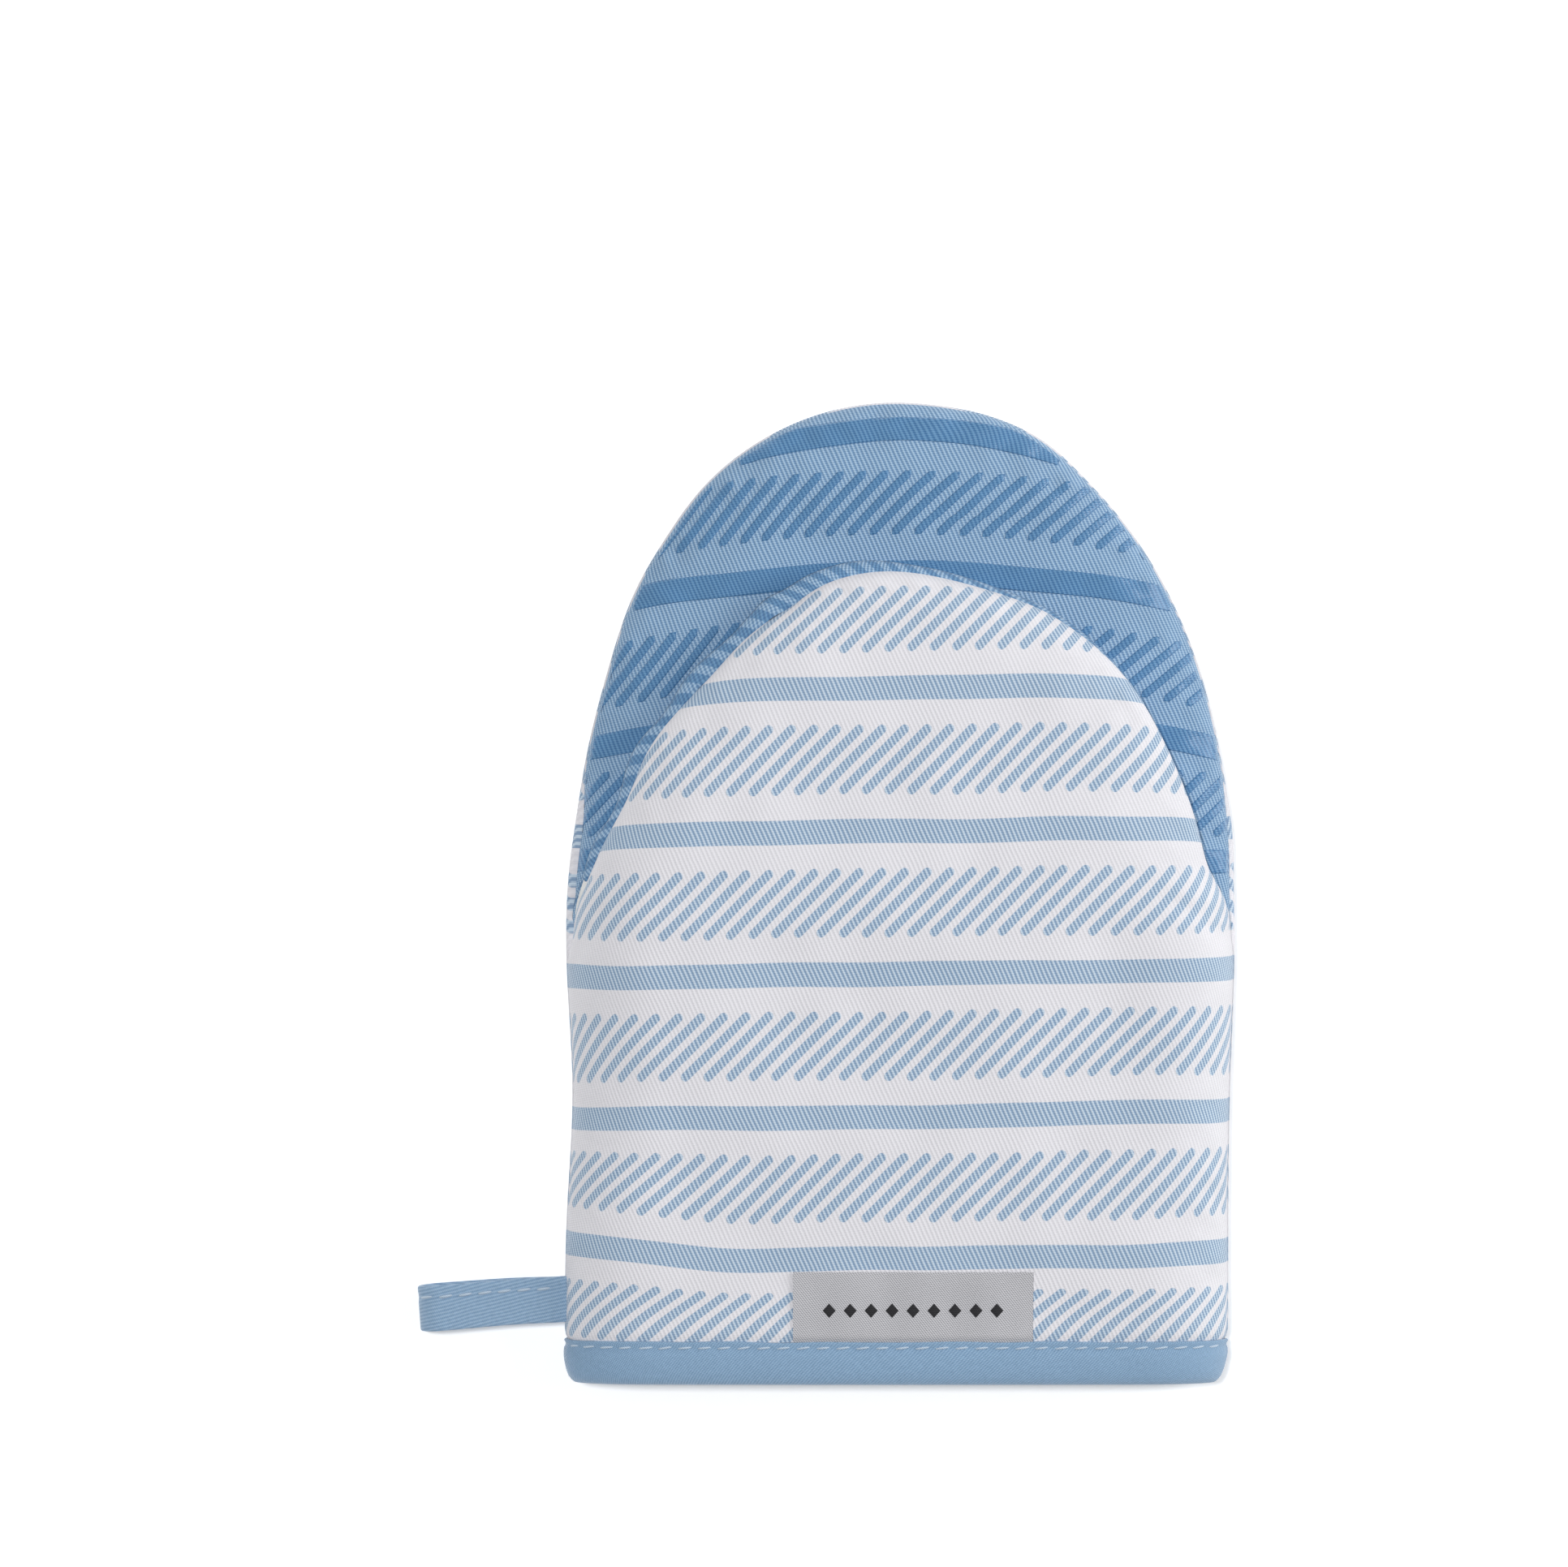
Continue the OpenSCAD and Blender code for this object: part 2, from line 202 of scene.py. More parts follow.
class Grid:
    """Rows across a panel: straight ones, then a rounded end, then rings past the edge.

    across and along place a point in a unit half disc, share is its distance from the middle,
    row_y is the place of a straight row, and over goes from 0 to 1 over the rings. turn is the
    angle up from the nearer corner of the rounded end, and from_right from its right one.
    curl_in and curl_up follow a quarter circle over the rings.
    """

    def __init__(self, first_y, outline, step, rings=0):
        self.step = step
        _, last_y, arch_l, _ = outline
        columns = 2 * round(HALF_W / step) + 1
        u = spread_steps(columns)
        ys = np.linspace(first_y, last_y, max(2, round((last_y - first_y) / step) + 1))
        arch_rows = round(arch_l / step * 0.85)
        v = spread_steps(2 * arch_rows + 1)[arch_rows + 1:]
        across = [u] * len(ys) + [u * np.sqrt(1 - k * k / 2) for k in v]
        along = [0 * u] * len(ys) + [k * np.sqrt(1 - u * u / 2) for k in v]
        row_y = [0 * u + y for y in ys] + [0 * u + np.nan] * len(v)
        pad = ((0, rings), (rings, rings))
        self.across, self.along, self.row_y = (
            np.pad(np.array(a), pad, mode="edge") for a in (across, along, row_y)
        )
        rows, cols = self.across.shape
        past_row = np.maximum(0, np.arange(rows) - (rows - 1 - rings))[:, None]
        side = np.arange(cols)[None, :]
        past_col = np.maximum(0, np.maximum(rings - side, side - (cols - 1 - rings)))
        self.over = np.maximum(past_row, past_col) / max(rings, 1)
        self.share = np.clip(np.hypot(self.across, self.along), 0, 1)
        self.turn = np.arctan2(self.along, np.abs(self.across))
        self.from_right = np.where(self.across >= 0, self.turn, math.pi - self.turn)
        self.curl_in = 1 - np.cos(self.over * math.pi / 2)
        self.curl_up = np.sin(self.over * math.pi / 2)
        self.straight = ~np.isnan(self.row_y)
        self.out_x = np.where(self.straight, np.sign(self.across), self.across)
        self.out_y = np.where(self.straight, 0.0, self.along)

    def plan(self, outline, depth):
        """The points' x and y, at a depth inside an outline."""
        half_w, start, length, bow = outline
        x = np.sign(self.across) * (half_w - depth) * self.share * np.cos(self.turn) ** bow[0]
        y = start + (length - depth) * self.share * np.abs(np.sin(self.turn)) ** bow[1]
        return x, np.where(self.straight, self.row_y, y)

    def cloth(self, x, y, rise, extra=0.0):
        """Place on the flat cloth: the plan, drawn out where the panel slopes down."""
        stretch = 0.55 * np.abs(rise) * (1 - dome(self.share)) + extra * self.over
        return xyz(x + self.out_x * stretch, y + self.out_y * stretch * 0.5, self.over)


def share_at(x, y, outline):
    """Share of the way from a panel's middle to its edge, at a place on the plan."""
    half_w, start, length, bow = outline
    across, along = np.abs(x) / half_w, np.maximum(y - start, 0) / length
    low, high = np.full(np.shape(x), 1e-3), np.full(np.shape(x), 4.0)
    for _ in range(40):
        share = (low + high) / 2
        outside = (across / share) ** (2 / bow[0]) + (along / share) ** (2 / bow[1]) > 1
        low, high = np.where(outside, share, low), np.where(outside, high, share)
    return high


def grid_faces(rows, cols):
    i, j = np.meshgrid(np.arange(rows - 1), np.arange(cols - 1), indexing="ij")
    p = (i * cols + j).ravel()
    return np.stack([p, p + 1, p + cols + 1, p + cols], -1)


def rim_loop(rows, cols):
    """The grid's outer vertices, in order."""
    last = (rows - 1) * cols
    return np.concatenate([
        np.arange(cols - 1),
        np.arange(cols - 1, last + cols - 1, cols),
        np.arange(last + cols - 1, last, -1),
        np.arange(last, 0, -cols),
    ])


# ---- meshes

# In metres: points closer than this are one point, and edges shorter than this are removed
SAME_POINT = 2e-6
NO_LENGTH = 1e-7


def linked(name, data):
    """A new object, in the scene."""
    thing = bpy.data.objects.new(name, data)
    bpy.context.scene.collection.objects.link(thing)
    return thing


def mesh_object(name, points, faces, cloth, material, sharp_deg=50):
    """A smooth mesh. cloth is each point's place on the flat cloth, which materials read."""
    mesh = bpy.data.meshes.new(name)
    points = np.reshape(points, (-1, 3)) * MM
    mesh.from_pydata(points.tolist(), [], [list(map(int, f)) for f in faces])
    attribute = mesh.attributes.new("cloth", "FLOAT_VECTOR", "POINT")
    attribute.data.foreach_set("vector", np.asarray(cloth, np.float32).ravel())
    work = bmesh.new()
    work.from_mesh(mesh)
    bmesh.ops.remove_doubles(work, verts=work.verts, dist=SAME_POINT)
    bmesh.ops.dissolve_degenerate(work, edges=work.edges, dist=NO_LENGTH)
    bmesh.ops.recalc_face_normals(work, faces=work.faces)
    work.to_mesh(mesh)
    work.free()
    mesh.shade_smooth()
    mesh.set_sharp_from_angle(angle=math.radians(sharp_deg))
    mesh.materials.append(material)
    return linked(name, mesh)


def layer(name, upper, lower, cloth, material):
    """A closed sheet between two skins over one grid."""
    rows, cols = upper.shape[:2]
    count = rows * cols
    top = grid_faces(rows, cols)
    loop = rim_loop(rows, cols)
    after = np.roll(loop, -1)
    walls = np.stack([after, loop, loop + count, after + count], -1)
    faces = np.concatenate([top, top[:, ::-1] + count, walls])
    return mesh_object(name, np.stack([upper, lower]), faces, np.stack([cloth, cloth]), material)


def joined(name, parts, material, sharp_deg=50):
    """One object from many (points, faces, cloth) parts."""
    points, faces, cloth, start = [], [], [], 0
    for part_points, part_faces, part_cloth in parts:
        points.append(np.reshape(part_points, (-1, 3)))
        cloth.append(np.reshape(part_cloth, (-1, 3)))
        faces.extend([[i + start for i in f] for f in part_faces])
        start += len(points[-1])
    return mesh_object(name, np.concatenate(points), faces, np.concatenate(cloth), material,
                       sharp_deg)


def tube_faces(sections, sides, closed=False):
    """Faces of a tube of rings, with its ends filled unless it is closed."""
    faces = []
    for i in range(sections if closed else sections - 1):
        a, b = i * sides, (i + 1) % sections * sides
        for k in range(sides):
            n = (k + 1) % sides
            faces.append([a + k, a + n, b + n, b + k])
    if not closed:
        faces.append(list(range(sides))[::-1])
        faces.append([(sections - 1) * sides + k for k in range(sides)])
    return faces


# ---- the mitt's surfaces


def warp_body(x, y):
    """Unevenness of the real outline, on the back and the finger pocket."""
    left = ease(-x / 55)
    right = np.where(y > 180, ease(x / 16), ease(x / 55))
    inward = swells(y, (3.0, 145, 27), (1.6, 60, 22), (0.9, 118, 14), (0.9, 177, 10))
    outward = 0.6 + swells(y, (1.3, 92, 28), (0.4, 115, 9), (2.4, 198.5, 7.5), (-0.8, 0, 7))
    return x + inward * left + outward * right, y + 0.4 * ease((y - 150) / 50)


def warp_front(x, y):
    """The same for the front panel. Its thumb end is uneven in its own way."""
    body_x, _ = warp_body(x, np.minimum(y, 150))
    narrow = 0.995 - 0.016 * bump_at(y, 113, 14)
    lean = 1.0 + 3.8 * bump_at(y, 153, 18) - 4.2 * ease((y - 160) / 9)
    lean = lean + ease(-x / 40) * swells(y, (1.9, 122, 9), (-2.0, 157, 8))
    lean = lean - ease(x / 40) * 0.8 * bump_at(y, 108, 7)
    thumb = ease((y - FOLD_Y) / 14)
    return body_x * (1 - thumb) + (x * narrow + lean) * thumb, y


def wrist_calm(y):
    """0 at the binding, which holds the cloth flat, and 1 well above it."""
    return ease((y - BINDING_W) / 14)


def depth_at(faces, face, y):
    """Depth of a face below the outside. The binding squeezes the stack at the wrist."""
    room = faces[3] - 2 * BIND_SQUEEZE
    bound = BIND_SQUEEZE + room * faces[face] / faces[3]
    return bound + (faces[face] - bound) * ease((y - BINDING_W + 0.3) / 1.6)


def seam_pucker(grid, x, y, depth_mm=0.28):
    """Little waves that the thread pulls into the cloth beside a seam."""
    away = (1 - grid.share) * HALF_W / 2.2
    return depth_mm * seam_waves(x * 1.2, y * 1.2) * away * np.exp(1 - away) * (grid.over == 0)


def equator_z(y):
    """Height of the thumb pocket's edge: it climbs from the side seam at the mouth corners."""
    rise, run = 11.4, 12.5
    ahead = y - FOLD_Y - 1.2
    climb = (ahead + np.sqrt(ahead * ahead + 4)) / 2
    return SEAM_Z + rise * (1 - np.exp(-climb / run))


def front_rim_z(y):
    return equator_z(y) + RIM_H + (ROLL_H - RIM_H) * ease((y - FOLD_Y - 1) / 16)


def front_top_z(y):
    return WRIST_TOP + (THUMB_TOP - WRIST_TOP) / FOLD_Y * np.minimum(y, FOLD_Y)


def front_profile(share, rim, top):
    """Height of the front across its width, from the top at its middle down to its rim."""
    return rim + (top - rim - FRONT_SLUMP * share**2) * dome(share)


def front_relief(x, y):
    return 0.5 * broad_waves(x, y) + 0.16 * small_waves(x, y)


# Each crease: its turn in degrees, its reach, and how far below the mouth corner it starts
CORNER_TUCKS = ((38, 15, 3.0), (12, 12, -2.5), (64, 13, 7.0))


def corner_tucks(grid, x, y, half_w, depth_mm):
    """Short creases that run in from the two mouth corners."""
    total = 0.0
    for side_x in (-half_w, half_w):
        for turn, reach, offset in CORNER_TUCKS:
            along, beside = turned(np.abs(side_x - x), y - FOLD_Y + offset, turn)
            total = total - depth_mm * bump_at(beside, 0, 1.5) * bump_at(along, 0, reach)
    return total * (grid.share < 0.999)


def dip_to_hinge(height, y):
    """A height that runs down or up to the hinge's own height, at the fold."""
    return height + (HINGE_Z - height) * (1 - ease((y - FOLD_END) / FOLD_RUN))


def thumb_grip_height(y, share, depth):
    """Height of the thumb's grip panel. Its layers lie closer together at its edge."""
    edge = equator_z(y) + 0.4 * depth
    return edge + (dip_to_hinge(THUMB_UNDER, y) + depth - edge) * dome(share)


def above_grip(x, y, z, step):
    """Heights of hidden layers, raised beside the mouth corners to clear the grip cloth."""
    share = share_at(x, y, THUMB_OUTLINE)
    level = thumb_grip_height(y, share, GRIP_FACES[1]) + 0.4 * step
    near = ease((y - FOLD_END + 9) / 3) * ease((FOLD_Y + 16 - y) / 8) * ease((share - 0.75) / 0.1)
    return z + near * np.maximum(level - z, 0)


def seam_inset(x, y):
    """How far in from the outline the side seam lies: more beside the mouth."""
    extra = 1.4 - 0.75 * ease((x + 30) / 60)
    return SEAM_INSET + extra * ease((y - 87) / 8) * ease((130 - y) / 16)


# A skin is the points of one face of a panel, and their places on the flat cloth. Face 0 is the
# outside of the cloth, and face 3 the inside of the lining.


def front_skin(grid, face):
    row_y = np.where(grid.straight, grid.row_y, FOLD_Y)
    depth = depth_at(PANEL_FACES, face, row_y)
    half_w = HALF_W + 0.15 - seam_inset(grid.across * HALF_W, row_y)
    x, y = grid.plan((half_w, *THUMB_OUTLINE[1:]), depth)
    rim, top = front_rim_z(y), front_top_z(y) - depth
    relief = front_relief(x, y) * dome(grid.share) + seam_pucker(grid, x, y)
    z = front_profile(grid.share, rim, top) + relief * wrist_calm(y)
    z += corner_tucks(grid, x, y, CORNER_HALF_W, 0.55)
    if face:
        z = above_grip(x, y, z, grid.step)
    x, y = warp_front(x, y)
    return xyz(x, y, z), grid.cloth(x, y, top - rim)


def front_height(x, y):
    """Height of the front's outside at a place on the cuff."""
    share = np.abs(x) / (HALF_W - SEAM_INSET)
    relief = front_relief(x, y) * dome(share) * wrist_calm(y)
    return front_profile(share, front_rim_z(y), front_top_z(y)) + relief


# Each crease: its side, where it meets the seam, its turn in degrees, its reach and its depth
SIDE_CREASES = (
    (-1, 137, -14, 20, 0.45), (-1, 129, -20, 17, 0.55), (-1, 119, -6, 15, 0.5),
    (-1, 108, 12, 12, 0.5), (1, 141, -24, 18, 0.4), (1, 128, 8, 14, 0.4), (1, 114, 20, 12, 0.45),
)


def side_creases(x, y):
    """Creases that run in from the sides of the finger pocket, where the thumb's corners pull."""
    total = 0.0
    for side, at_y, turn, reach, depth_mm in SIDE_CREASES:
        along, beside = turned(HALF_W - 2 - side * x, y - at_y, turn)
        valley_and_ridge = swells(beside, (1.0, 0, 1.3), (-0.6, 3, 1.9))
        total = total - depth_mm * bump_at(along, 0, reach) * valley_and_ridge
    return total


def finger_skin(grid, face):
    depth = GRIP_FACES[face]
    x, y = grid.plan(FINGER_OUTLINE, depth)
    x = x * (1 - (seam_inset(x, y) - SEAM_INSET) / HALF_W)
    rim = SEAM_Z + 0.5 + 0.5 * seam_inset(x, y)
    crown = dip_to_hinge(FINGER_TOP, y) + 0.7 * ease((y - 172) / 14)
    under_thumb = ease((1.06 - share_at(x, y, THUMB_OUTLINE)) / 0.14)
    calm = ease((y - FOLD_Y) / 10) * (1 - 0.75 * under_thumb)
    waves = 0.3 * grip_waves(x, y) + 0.16 * small_waves(y, x) + side_creases(x, y)
    z = rim + (crown - rim + waves * calm - depth) * dome(grid.share)
    z += seam_pucker(grid, x, y, 0.32)
    z += corner_tucks(grid, x, y, HALF_W, 0.5) * ease((y - 96) / 6)
    x, y = warp_body(x, y)
    return xyz(x, y, z), grid.cloth(x, y, FINGER_TOP - SEAM_Z)


def back_skin(grid, face):
    row_y = np.where(grid.straight, grid.row_y, STRAIGHT_L)
    depth = depth_at(PANEL_FACES, face, row_y)
    x, y = grid.plan(BACK_OUTLINE, depth)
    # Past its edge, the cloth turns in over the seam as a quarter round
    inset = seam_inset(x, y)
    lip, lip_h = grid.curl_in * (inset - 0.1), grid.curl_up * (0.35 + 0.45 * inset)
    x, y = x - grid.out_x * lip, y - grid.out_y * lip
    full = dome(grid.share)
    z = SEAM_Z + lip_h - (SEAM_Z - depth) * full
    z += seam_pucker(grid, x, y) * ease((y - BINDING_W) / 10)
    z = np.maximum(z, depth + 0.12 * (1 - full) + 0.02)
    x, y = warp_body(x, y)
    return xyz(x, y, z), grid.cloth(x, y, SEAM_Z, 2.5)


def roll_width(grid):
    """Width of the blue roll outside the thumb's white edge, which differs round the pocket."""
    degrees = [0, 8, 55, 80, 100, 130, 165, 180]
    widths = [0.3, 0.7, 0.8, 1.9, 2.7, 3.2, 2.0, 0.5]
    return np.interp(np.degrees(grid.from_right), degrees, widths)


# How far the cloth's places run across the roll
ROLL_CLOTH = 3.4


def thumb_grip_skin(grid, face):
    depth = GRIP_FACES[face]
    width = roll_width(grid)
    x, y = grid.plan(THUMB_OUTLINE, depth)
    # Past the fold, the cloth runs on at the mouth corners only, and closes them
    corner = 0.03 + 0.97 * ease((grid.share - 0.84) / 0.12)
    y = np.where(y < FOLD_END, FOLD_END - (FOLD_END - y) * corner, y)
    at_edge = grid.share**6
    out = width * (at_edge - grid.curl_in)
    out += 0.35 * edge_waves(x * 1.6, y * 1.6) * (width / 3) * at_edge
    x, y = x + grid.out_x * out, y + grid.out_y * out
    roll_h = (front_rim_z(y) - equator_z(y)) * grid.curl_up
    z = thumb_grip_height(y, grid.share, depth) + roll_h * (0.9 if face else 1.0)
    z += 0.05 * grip_waves(x, y) * dome(grid.share) * ease((y - FOLD_Y) / 10)
    if face:
        z = above_grip(x, y, z, grid.step)
    x, y = warp_front(x, y)
    cloth = grid.cloth(x, y, THUMB_UNDER - SEAM_Z)
    # On the roll, the cloth's places are measured along it and across it
    rolled = grid.over > 0
    cloth[rolled, 0] = -grid.from_right[rolled] * THUMB_L
    cloth[rolled, 1] = grid.over[rolled] * ROLL_CLOTH
    return xyz(x, y, z), cloth


# ---- materials


def feed(tree, slot, value):
    """Gives an input another node's output, or a number, vector or colour of its own."""
    if isinstance(value, Value):
        value = value.socket
    if isinstance(value, bpy.types.NodeSocket):
        tree.links.new(value, slot)
    elif isinstance(value, tuple):
        slot.default_value = (*value, 1.0)[:len(slot.default_value)]
    else:
        slot.default_value = value


def made_by(tree, kind, inputs, output=0, **settings):
    """The output of a new node. inputs are by number or name."""
    node = tree.nodes.new("ShaderNode" + kind)
    for name, setting in settings.items():
        setattr(node, name, setting)
    for key, value in inputs.items():
        feed(tree, node.inputs[key], value)
    return node.outputs[output]


class Value:
    """A number that varies over a surface, as a socket of a node tree, with arithmetic."""

    def __init__(self, tree, socket):
        self.tree, self.socket = tree, socket

    def calc(self, operation, *others):
        inputs = dict(enumerate((self, *others)))
        return Value(self.tree, made_by(self.tree, "Math", inputs, operation=operation))

    __add__ = partialmethod(calc, "ADD")
    __sub__ = partialmethod(calc, "SUBTRACT")
    __mul__ = partialmethod(calc, "MULTIPLY")
    abs = partialmethod(calc, "ABSOLUTE")
    most = partialmethod(calc, "MAXIMUM")

    def wave(self, length):
        """A sine wave from 0 to 1."""
        return (self * (2 * math.pi / length)).calc("SINE") * 0.5 + 0.5

    def from_nearest(self, pitch):
        """Signed distance to the nearest whole multiple of pitch."""
        return self - self.calc("DIVIDE", pitch).calc("ROUND") * pitch

    def between(self, low, high, to_low=0.0, to_high=1.0):
        """Maps low..high to to_low..to_high with soft ends, and clamps."""
        return Value(self.tree, made_by(self.tree, "MapRange", {
            "Value": self, "From Min": low, "From Max": high, "To Min": to_low, "To Max": to_high,
        }, interpolation_type="SMOOTHSTEP"))


class Paint:
    """A procedural material under construction, on the flat cloth's coordinates."""

    def __init__(self, name):
        self.material = bpy.data.materials.new(name)
        self.material.use_nodes = True
        self.tree = self.material.node_tree
        self.place = made_by(self.tree, "Attribute", {}, "Vector", attribute_name="cloth")
        parts = made_by(self.tree, "SeparateXYZ", {0: self.place}).node
        self.u, self.v, self.over = (Value(self.tree, s) for s in parts.outputs)

    def noise(self, size, detail=2.0, stretch=(1.0, 1.0), turn=0.0):
        """Noise from 0 to 1, whose blotches are about size across."""
        place = made_by(self.tree, "Mapping", {
            "Vector": self.place, "Rotation": (0, 0, math.radians(turn)), "Scale": (*stretch, 1.0)})
        return Value(self.tree, made_by(self.tree, "TexNoise", {
            "Vector": place, "Scale": 1 / size, "Detail": detail}))

    def mix(self, share, low, high):
        """Colour from low to high by a share. Each is a colour or another mix."""
        return made_by(self.tree, "Mix", {0: share, 6: low, 7: high}, 2, data_type="RGBA")

    def shade(self, colour, by):
        """A colour made lighter or darker by a value near 1."""
        return made_by(self.tree, "VectorMath", {0: colour, "Scale": by}, operation="SCALE")

    def finish(self, colour, height, roughness, specular=0.5, sheen=0.0, **sockets):
        """Wires up the shader. height is in millimetres."""
        normal = made_by(self.tree, "Bump", {"Strength": 1.0, "Distance": MM, "Height": height})
        sockets = {name.replace("_", " "): value for name, value in sockets.items()}
        sockets |= {"Base Color": colour, "Normal": normal, "Roughness": roughness,
                    "Specular IOR Level": specular, "Sheen Weight": sheen}
        for name, value in sockets.items():
            feed(self.tree, self.tree.nodes["Principled BSDF"].inputs[name], value)
        return self.material


def twill(paint, pitch=0.855, lean=24.0, bead=0.5):
    """Twill ribs that lean to the left: (ribs, beads), each 0 to 1 and 1 on top of a thread."""
    across, along = turned(paint.u, paint.v, lean)
    across = across + (paint.noise(9.0) - 0.5) * 0.5
    return across.wave(pitch), (along + across * (bead / pitch / 2)).wave(bead)


STRIPE_PITCH = 29.5
STRIPE_Y = 26.5
STRIPE_HALF = 2.5
DASH_PITCH = 4.66
DASH_HALF_W = 0.93
DASH_REACH = 7.2


def print_mask(paint, soft=0.12):
    """1 on the printed stripes and leaning dashes, 0 between them."""
    wander = (paint.noise(42.0, 1.0) - 0.5) * 1.8 - paint.u * 0.013
    rise = paint.u.between(-72.0, -26.0, 3.7, 0.0) * paint.v.between(34.0, 56.0, 1.0, 0.0)
    height = paint.v - paint.v.between(12.0, 25.0, 2.25, 0.0) + wander - rise - STRIPE_Y
    stripe = height.from_nearest(STRIPE_PITCH).abs().between(
        STRIPE_HALF - soft, STRIPE_HALF + soft, 1.0, 0.0)
    local = (height - STRIPE_PITCH / 2).from_nearest(STRIPE_PITCH)
    beside = (paint.u - local).from_nearest(DASH_PITCH)
    half_l = (DASH_REACH - DASH_HALF_W) * math.sqrt(2)
    along = (beside + local * 2.0) * math.sqrt(0.5)
    past = (along.abs() - half_l).most(0.0)
    distance = ((beside * beside) * 0.5 + past * past).calc("SQRT")
    dash = distance.between(DASH_HALF_W - soft, DASH_HALF_W + soft, 1.0, 0.0)
    return stripe.most(dash)


def printed_twill():
    """White cotton twill, printed with light blue stripes and dashes."""
    paint = Paint("printed_twill")
    rib, bead = twill(paint)
    printed = print_mask(paint)
    lint = paint.noise(0.35, 3.0)
    white = paint.mix(rib * 0.75 + bead * 0.25, (0.72, 0.713, 0.755), (0.82, 0.812, 0.85))
    blue = paint.mix((rib * 0.72 + bead * 0.28).between(0.12, 0.95),
                     (0.225, 0.335, 0.495), (0.585, 0.695, 0.80))
    colour = paint.mix(printed, white, blue)
    worn = paint.shade(colour, paint.noise(22.0) * 0.08 + lint * 0.12 + 0.91)
    height = rib * 0.085 + bead * 0.03 + lint * 0.03
    return paint.finish(worn, height, 0.86, 0.25, sheen=0.18, Sheen_Roughness=0.5)


def grip_twill(rolled=False):
    """Light blue twill of the grip panels. On the thumb's roll the silicone print wraps over."""
    paint = Paint("grip_twill_rolled" if rolled else "grip_twill")
    rib, bead = twill(paint)
    lint = paint.noise(0.4, 3.0)
    thread = (rib * 0.62 + bead * 0.38).between(0.12, 0.92)
    colour = paint.mix(thread, (0.14, 0.265, 0.455), (0.40, 0.565, 0.735))
    if rolled:
        wrap = (paint.u - paint.v * 0.9).from_nearest(DASH_PITCH).abs()
        printed = wrap.between(1.05, 1.3, 1.0, 0.0) * paint.over.between(0.0, 0.12)
        film = paint.mix(thread, (0.09, 0.20, 0.38), (0.17, 0.33, 0.53))
        colour = paint.mix(printed, colour, film)
    worn = paint.shade(colour, paint.noise(14.0) * 0.14 + lint * 0.16 + 0.86)
    height = rib * 0.11 + bead * 0.06 + lint * 0.03
    return paint.finish(worn, height, 0.82, 0.3, sheen=0.15, Sheen_Roughness=0.5)


def silicone():
    """Raised blue silicone: glossy, and the twill under it shows through."""
    paint = Paint("silicone_print")
    rib, bead = twill(paint)
    thread = (rib * 0.6 + bead * 0.4).between(0.1, 0.9)
    colour = paint.mix(thread, (0.055, 0.165, 0.345), (0.145, 0.31, 0.52))
    shaded = paint.shade(colour, paint.noise(6.0) * 0.2 + 0.92)
    height = rib * 0.05 + bead * 0.04 + paint.noise(1.6) * 0.06
    gloss = paint.noise(2.5) * 0.14 + 0.18
    return paint.finish(shaded, height, gloss, 0.55, Coat_Weight=0.3, Coat_Roughness=0.1)


def tape_twill(name, colour_low, colour_high, lean, pitch):
    """Finer twill of the binding and the loop, with the sheen of mercerised cotton."""
    paint = Paint(name)
    rib, bead = twill(paint, pitch, lean, 0.38)
    lint = paint.noise(0.5, 3.0)
    slub = paint.noise(0.9, 3.0)
    thread = (rib * 0.6 + bead * 0.4).between(0.1, 0.9)
    colour = paint.mix(thread * 0.7 + slub * 0.3, colour_low, colour_high)
    worn = paint.shade(colour, slub * 0.14 + lint * 0.18 + 0.84)
    height = rib * 0.055 + bead * 0.04 + slub * 0.06
    return paint.finish(worn, height, 0.68, 0.35, sheen=0.25, Sheen_Roughness=0.4)


def label_satin():
    paint = Paint("label_satin")
    rib, bead = twill(paint, 0.42, 38.0, 0.5)
    # Painted sheen: stretched, turned noise lays lighter and darker bands into the satin's colour,
    # so worn below holds this painted sheen as well as random tone
    painted_sheen = paint.noise(9.0, 2.0, (1.0, 0.4), 30)
    colour = paint.mix(rib * 0.7 + bead * 0.3, (0.31, 0.31, 0.335), (0.68, 0.68, 0.71))
    worn = paint.shade(colour, painted_sheen * 0.2 + paint.noise(0.5) * 0.12 + 0.86)
    return paint.finish(worn, rib * 0.06 + bead * 0.04, 0.5, 0.45, sheen=0.1)


def label_ink():
    paint = Paint("label_motif")
    rib, bead = twill(paint, 0.3, 90.0, 0.4)
    colour = paint.mix(rib * 0.6 + bead * 0.4, (0.012, 0.012, 0.014), (0.045, 0.045, 0.05))
    return paint.finish(colour, rib * 0.04 + bead * 0.02, 0.6, 0.3)


def thread():
    """Sewing thread: its plies wind round it."""
    paint = Paint("sewing_thread")
    plies = (paint.u + paint.v * 0.8).wave(0.42)
    colour = paint.mix(plies, (0.34, 0.46, 0.60), (0.66, 0.77, 0.88))
    fuzz = paint.noise(0.2, 3.0)
    worn = paint.shade(colour, fuzz * 0.3 + 0.85)
    return paint.finish(worn, plies * 0.05 + fuzz * 0.02, 0.55, 0.4, sheen=0.3)


def plain_cotton():
    """Plain off-white weave of the lining."""
    paint = Paint("lining_cotton")
    warp, weft = paint.u.wave(0.6), paint.v.wave(0.6)
    over_under = (warp - 0.5) * (weft - 0.5) * 2.0 + 0.5
    slub = paint.noise(4.0, 2.0, (0.2, 1.0))
    colour = paint.mix(over_under, (0.60, 0.58, 0.53), (0.80, 0.785, 0.74))
    worn = paint.shade(colour, slub * 0.18 + 0.88)
    return paint.finish(worn, over_under * 0.07 + slub * 0.05, 0.9, sheen=0.15)


